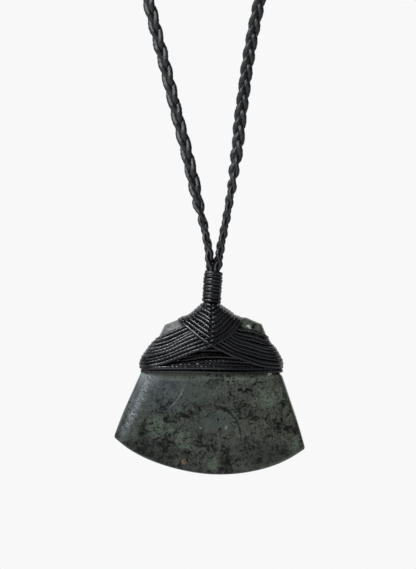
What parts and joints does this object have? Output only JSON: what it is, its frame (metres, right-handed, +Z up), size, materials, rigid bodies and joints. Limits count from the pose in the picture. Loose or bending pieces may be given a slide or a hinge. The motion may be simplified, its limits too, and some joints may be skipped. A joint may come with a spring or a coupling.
{
  "type": "toki adze pendant necklace",
  "caption": "Fan-shaped greenstone adze pendant, its poll lashed with black waxed thread, hung from a plaited black cord with a whipped neck.",
  "frame": {"origin": "the inner side of the cord at the nape, where the necklace hangs", "axes": "+Z up, +X to the right as seen from the front, +Y from the pendant's face towards the wearer's back"},
  "size_m": [0.1234, 0.1405, 0.3026],
  "materials": {
    "greenstone": "polished dark green jade with black mottling",
    "waxed_thread": "black waxed polyester thread, satin",
    "plait_thread": "black waxed thread, three-strand flat plait"
  },
  "bodies": {
    "root": {"toki_blade": "greenstone", "lower_band": "waxed_thread", "left_wraps": "waxed_thread", "right_wraps": "waxed_thread", "chevron_wraps": "waxed_thread", "neck_whipping": "waxed_thread", "plait_strand_1": "plait_thread", "plait_strand_2": "plait_thread", "plait_strand_3": "plait_thread", "back_join": "waxed_thread"}
  },
  "joints": []
}
